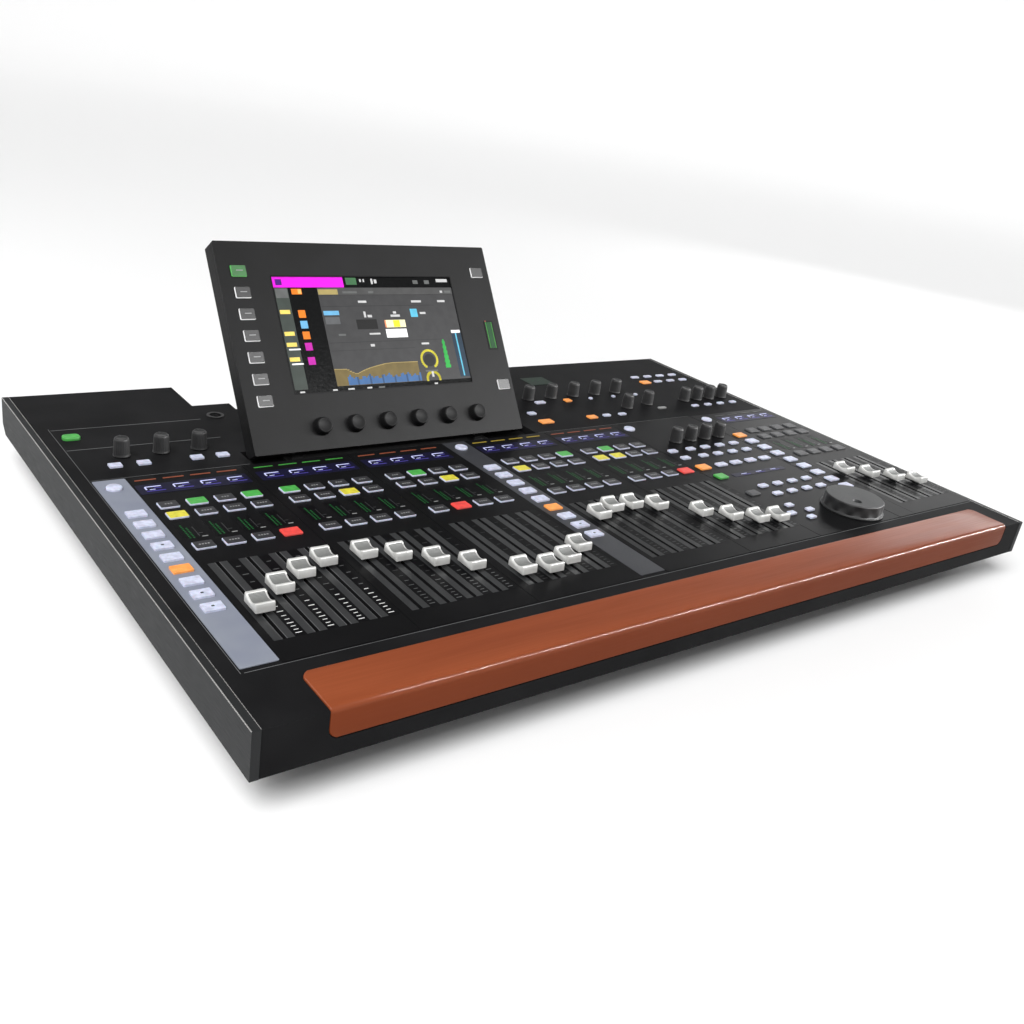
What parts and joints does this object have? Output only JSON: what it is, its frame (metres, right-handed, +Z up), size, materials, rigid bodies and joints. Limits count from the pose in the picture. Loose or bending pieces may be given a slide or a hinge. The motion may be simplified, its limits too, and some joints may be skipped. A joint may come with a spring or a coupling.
{
  "type": "mixing console",
  "caption": "Flat digital mixing desk with motor fader banks, a tilting touch screen, rotary knobs, lit keys, a jog wheel and a wooden front armrest between two side cheeks.",
  "frame": {"origin": "on the table under the middle of the desk", "axes": "+X to the right as the operator sits, +Y towards the back, +Z up"},
  "size_m": [0.871, 0.58, 0.2369],
  "materials": {
    "deck": "fine-textured black powder coat",
    "cheek": "satin dark grey paint with bright edges",
    "pan": "satin black paint",
    "armrest": "stained cherry with a satin lacquer",
    "fader_cap": "light silver-grey moulded plastic, finely textured",
    "knob": "matt black soft-touch plastic",
    "white_key": "translucent lilac-white silicone",
    "green_key": "lit green silicone",
    "screen_case": "matt black moulded plastic",
    "display_glass": "black glass over a lit display",
    "hinge_steel": "plated hinge steel",
    "foot": "black rubber",
    "circuit_board": "green solder resist",
    "plated_steel": "plain folded sheet"
  },
  "bodies": {
    "desk": {"deck_panel": "deck", "bottom_pan": "pan", "left_cheek": "cheek", "right_cheek": "cheek", "armrest": "armrest", "connector_plate": "pan", "main_board": "circuit_board", "power_supply": "plated_steel", "left_fader_tracks": "plated_steel", "right_fader_tracks": "plated_steel", "front_left_foot": "foot", "rear_left_foot": "foot", "front_right_foot": "foot", "rear_right_foot": "foot", "hinge_bracket": "hinge_steel", "hinge_pin": "hinge_steel"},
    "screen": {"screen_bezel": "screen_case", "screen_back": "screen_case", "touch_display": "display_glass"},
    "fader_01": {"fader_01": "fader_cap"},
    "fader_02": {"fader_02": "fader_cap"},
    "fader_03": {"fader_03": "fader_cap"},
    "fader_04": {"fader_04": "fader_cap"},
    "fader_05": {"fader_05": "fader_cap"},
    "fader_06": {"fader_06": "fader_cap"},
    "fader_07": {"fader_07": "fader_cap"},
    "fader_08": {"fader_08": "fader_cap"},
    "fader_09": {"fader_09": "fader_cap"},
    "fader_10": {"fader_10": "fader_cap"},
    "fader_11": {"fader_11": "fader_cap"},
    "fader_12": {"fader_12": "fader_cap"},
    "fader_13": {"fader_13": "fader_cap"},
    "fader_14": {"fader_14": "fader_cap"},
    "fader_15": {"fader_15": "fader_cap"},
    "fader_16": {"fader_16": "fader_cap"},
    "fader_17": {"fader_17": "fader_cap"},
    "fader_18": {"fader_18": "fader_cap"},
    "fader_19": {"fader_19": "fader_cap"},
    "fader_20": {"fader_20": "fader_cap"},
    "fader_21": {"fader_21": "fader_cap"},
    "fader_22": {"fader_22": "fader_cap"},
    "fader_23": {"fader_23": "fader_cap"},
    "fader_24": {"fader_24": "fader_cap"},
    "monitor_knob_1": {"monitor_knob_1": "knob"},
    "monitor_knob_2": {"monitor_knob_2": "knob"},
    "monitor_knob_3": {"monitor_knob_3": "knob"},
    "main_knob_1": {"main_knob_1": "knob"},
    "main_knob_2": {"main_knob_2": "knob"},
    "main_knob_3": {"main_knob_3": "knob"},
    "main_knob_4": {"main_knob_4": "knob"},
    "assign_knob_1": {"assign_knob_1": "knob"},
    "assign_knob_2": {"assign_knob_2": "knob"},
    "assign_knob_3": {"assign_knob_3": "knob"},
    "assign_knob_4": {"assign_knob_4": "knob"},
    "jog_wheel": {"jog_wheel": "knob"},
    "bank_key_left": {"bank_key_left": "white_key"},
    "bank_key_middle": {"bank_key_middle": "white_key"},
    "bank_key_main": {"bank_key_main": "white_key"},
    "bank_key_right": {"bank_key_right": "white_key"},
    "monitor_key": {"monitor_key": "green_key"}
  },
  "joints": [
    {"name": "screen_tilt", "type": "hinge", "parent": "desk", "child": "screen", "pos_m": [-0.11875, 0.09257, 0.07174], "axis": [1, 0, 0], "range_deg": [-55, 20]},
    {"name": "fader_01_slide", "type": "slide", "parent": "desk", "child": "fader_01", "axis": [0, 1, 0], "range_m": [-0.033, 0.067]},
    {"name": "fader_02_slide", "type": "slide", "parent": "desk", "child": "fader_02", "axis": [0, 1, 0], "range_m": [-0.052, 0.048]},
    {"name": "fader_03_slide", "type": "slide", "parent": "desk", "child": "fader_03", "axis": [0, 1, 0], "range_m": [-0.067, 0.033]},
    {"name": "fader_04_slide", "type": "slide", "parent": "desk", "child": "fader_04", "axis": [0, 1, 0], "range_m": [-0.078, 0.022]},
    {"name": "fader_05_slide", "type": "slide", "parent": "desk", "child": "fader_05", "axis": [0, 1, 0], "range_m": [-0.078, 0.022]},
    {"name": "fader_06_slide", "type": "slide", "parent": "desk", "child": "fader_06", "axis": [0, 1, 0], "range_m": [-0.066, 0.034]},
    {"name": "fader_07_slide", "type": "slide", "parent": "desk", "child": "fader_07", "axis": [0, 1, 0], "range_m": [-0.049, 0.051]},
    {"name": "fader_08_slide", "type": "slide", "parent": "desk", "child": "fader_08", "axis": [0, 1, 0], "range_m": [-0.033, 0.067]},
    {"name": "fader_09_slide", "type": "slide", "parent": "desk", "child": "fader_09", "axis": [0, 1, 0], "range_m": [-0.012, 0.088]},
    {"name": "fader_10_slide", "type": "slide", "parent": "desk", "child": "fader_10", "axis": [0, 1, 0], "range_m": [-0.007, 0.093]},
    {"name": "fader_11_slide", "type": "slide", "parent": "desk", "child": "fader_11", "axis": [0, 1, 0], "range_m": [-0.014, 0.086]},
    {"name": "fader_12_slide", "type": "slide", "parent": "desk", "child": "fader_12", "axis": [0, 1, 0], "range_m": [-0.028, 0.072]},
    {"name": "fader_13_slide", "type": "slide", "parent": "desk", "child": "fader_13", "axis": [0, 1, 0], "range_m": [-0.073, 0.027]},
    {"name": "fader_14_slide", "type": "slide", "parent": "desk", "child": "fader_14", "axis": [0, 1, 0], "range_m": [-0.082, 0.018]},
    {"name": "fader_15_slide", "type": "slide", "parent": "desk", "child": "fader_15", "axis": [0, 1, 0], "range_m": [-0.081, 0.019]},
    {"name": "fader_16_slide", "type": "slide", "parent": "desk", "child": "fader_16", "axis": [0, 1, 0], "range_m": [-0.071, 0.029]},
    {"name": "fader_17_slide", "type": "slide", "parent": "desk", "child": "fader_17", "axis": [0, 1, 0], "range_m": [-0.045, 0.055]},
    {"name": "fader_18_slide", "type": "slide", "parent": "desk", "child": "fader_18", "axis": [0, 1, 0], "range_m": [-0.028, 0.072]},
    {"name": "fader_19_slide", "type": "slide", "parent": "desk", "child": "fader_19", "axis": [0, 1, 0], "range_m": [-0.015, 0.085]},
    {"name": "fader_20_slide", "type": "slide", "parent": "desk", "child": "fader_20", "axis": [0, 1, 0], "range_m": [-0.01, 0.09]},
    {"name": "fader_21_slide", "type": "slide", "parent": "desk", "child": "fader_21", "axis": [0, 1, 0], "range_m": [-0.074, 0.026]},
    {"name": "fader_22_slide", "type": "slide", "parent": "desk", "child": "fader_22", "axis": [0, 1, 0], "range_m": [-0.057, 0.043]},
    {"name": "fader_23_slide", "type": "slide", "parent": "desk", "child": "fader_23", "axis": [0, 1, 0], "range_m": [-0.04, 0.06]},
    {"name": "fader_24_slide", "type": "slide", "parent": "desk", "child": "fader_24", "axis": [0, 1, 0], "range_m": [-0.026, 0.074]},
    {"name": "monitor_knob_1_turn", "type": "hinge", "parent": "desk", "child": "monitor_knob_1", "pos_m": [-0.3765, 0.121, 0.063], "axis": [0, 0, 1], "continuous": true},
    {"name": "monitor_knob_2_turn", "type": "hinge", "parent": "desk", "child": "monitor_knob_2", "pos_m": [-0.3417, 0.121, 0.063], "axis": [0, 0, 1], "continuous": true},
    {"name": "monitor_knob_3_turn", "type": "hinge", "parent": "desk", "child": "monitor_knob_3", "pos_m": [-0.3069, 0.121, 0.063], "axis": [0, 0, 1], "continuous": true},
    {"name": "main_knob_1_turn", "type": "hinge", "parent": "desk", "child": "main_knob_1", "pos_m": [0.204, 0.008, 0.063], "axis": [0, 0, 1], "continuous": true},
    {"name": "main_knob_2_turn", "type": "hinge", "parent": "desk", "child": "main_knob_2", "pos_m": [0.2279, 0.008, 0.063], "axis": [0, 0, 1], "continuous": true},
    {"name": "main_knob_3_turn", "type": "hinge", "parent": "desk", "child": "main_knob_3", "pos_m": [0.2518, 0.008, 0.063], "axis": [0, 0, 1], "continuous": true},
    {"name": "main_knob_4_turn", "type": "hinge", "parent": "desk", "child": "main_knob_4", "pos_m": [0.2757, 0.008, 0.063], "axis": [0, 0, 1], "continuous": true},
    {"name": "assign_knob_1_turn", "type": "hinge", "parent": "desk", "child": "assign_knob_1", "pos_m": [0.3355, 0.124, 0.063], "axis": [0, 0, 1], "continuous": true},
    {"name": "assign_knob_2_turn", "type": "hinge", "parent": "desk", "child": "assign_knob_2", "pos_m": [0.3588, 0.124, 0.063], "axis": [0, 0, 1], "continuous": true},
    {"name": "assign_knob_3_turn", "type": "hinge", "parent": "desk", "child": "assign_knob_3", "pos_m": [0.3821, 0.124, 0.063], "axis": [0, 0, 1], "continuous": true},
    {"name": "assign_knob_4_turn", "type": "hinge", "parent": "desk", "child": "assign_knob_4", "pos_m": [0.4054, 0.124, 0.063], "axis": [0, 0, 1], "continuous": true},
    {"name": "jog_turn", "type": "hinge", "parent": "desk", "child": "jog_wheel", "pos_m": [0.2555, -0.198, 0.063], "axis": [0, 0, 1], "continuous": true},
    {"name": "bank_key_left_press", "type": "slide", "parent": "desk", "child": "bank_key_left", "axis": [0, 0, -1], "range_m": [0, 0.0012], "stiffness_N_per_m": 200, "springref_m": -0.0004},
    {"name": "bank_key_middle_press", "type": "slide", "parent": "desk", "child": "bank_key_middle", "axis": [0, 0, -1], "range_m": [0, 0.0012], "stiffness_N_per_m": 200, "springref_m": -0.0004},
    {"name": "bank_key_main_press", "type": "slide", "parent": "desk", "child": "bank_key_main", "axis": [0, 0, -1], "range_m": [0, 0.0012], "stiffness_N_per_m": 200, "springref_m": -0.0004},
    {"name": "bank_key_right_press", "type": "slide", "parent": "desk", "child": "bank_key_right", "axis": [0, 0, -1], "range_m": [0, 0.0012], "stiffness_N_per_m": 200, "springref_m": -0.0004},
    {"name": "monitor_key_press", "type": "slide", "parent": "desk", "child": "monitor_key", "axis": [0, 0, -1], "range_m": [0, 0.0012], "stiffness_N_per_m": 200, "springref_m": -0.0004}
  ]
}
